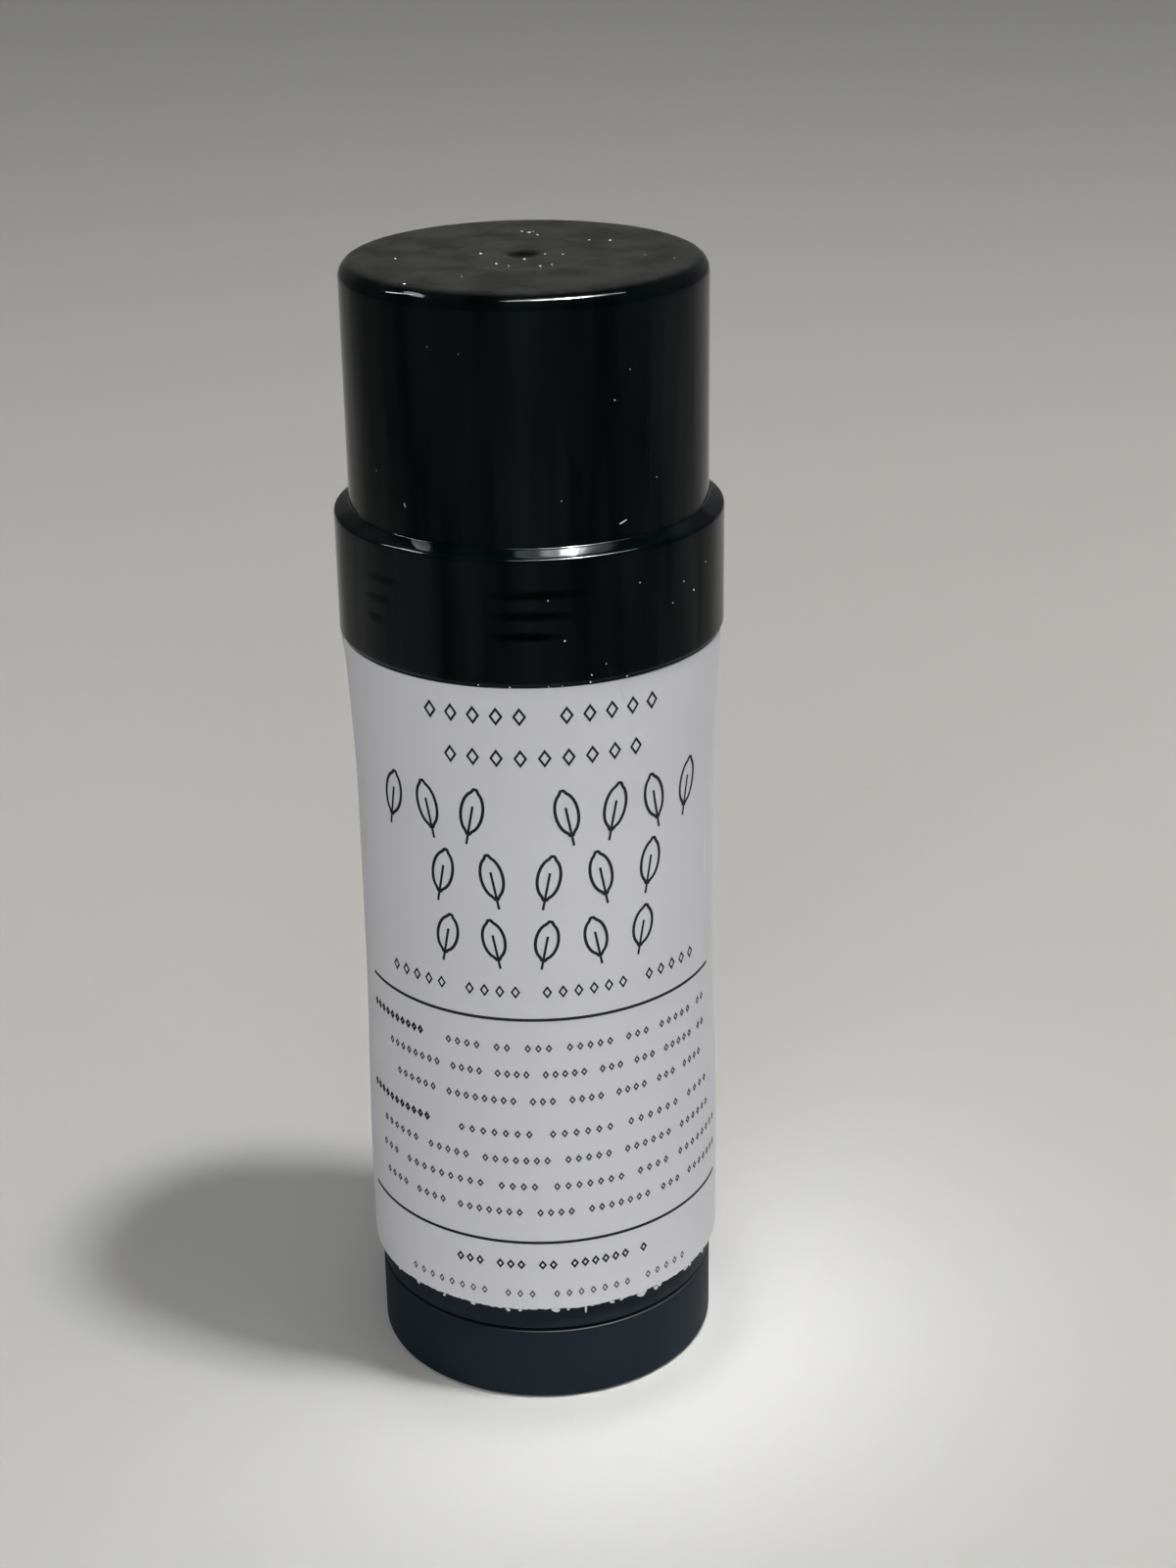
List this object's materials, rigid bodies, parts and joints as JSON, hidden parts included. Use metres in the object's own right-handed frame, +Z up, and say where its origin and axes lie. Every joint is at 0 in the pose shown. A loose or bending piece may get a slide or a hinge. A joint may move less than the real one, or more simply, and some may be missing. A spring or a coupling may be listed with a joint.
{
  "type": "twist-up body butter bar",
  "caption": "Round black twist-up stick of solid body butter, with a stepped screw cap, a paper label and a dial at the foot.",
  "frame": {"origin": "centre of the dial's underside, on the stick's axis", "axes": "+Z up the stick towards the cap, -Y out of the middle of the label's print, +X to the right of someone reading it"},
  "size_m": [0.0379, 0.0378, 0.1162],
  "materials": {
    "cap_plastic": "gloss",
    "barrel_plastic": "satin",
    "elevator_plastic": "satin",
    "dial_plastic": "matte",
    "butter": "satin",
    "label_paper": "satin"
  },
  "bodies": {
    "barrel": {"barrel": "barrel_plastic", "label": "label_paper"},
    "dial": {"twist_dial": "dial_plastic"},
    "stick": {"elevator": "elevator_plastic", "butter_bar": "butter"},
    "cap": {"screw_cap": "cap_plastic"}
  },
  "joints": [
    {"name": "dial_turn", "type": "hinge", "parent": "barrel", "child": "dial", "pos_m": [0, 0, 0], "axis": [0, 0, -1], "range_deg": [0, 1440]},
    {"name": "stick_rise", "type": "slide", "parent": "barrel", "child": "stick", "axis": [0, 0, 1], "range_m": [0, 0.022]},
    {"name": "cap_lift", "type": "slide", "parent": "barrel", "child": "cap", "axis": [0, 0, 1], "range_m": [0, 0.06]}
  ],
  "couplings": [
    {"joint": "dial_turn", "follows": "stick_rise", "rad_per_m": 1142.4}
  ]
}
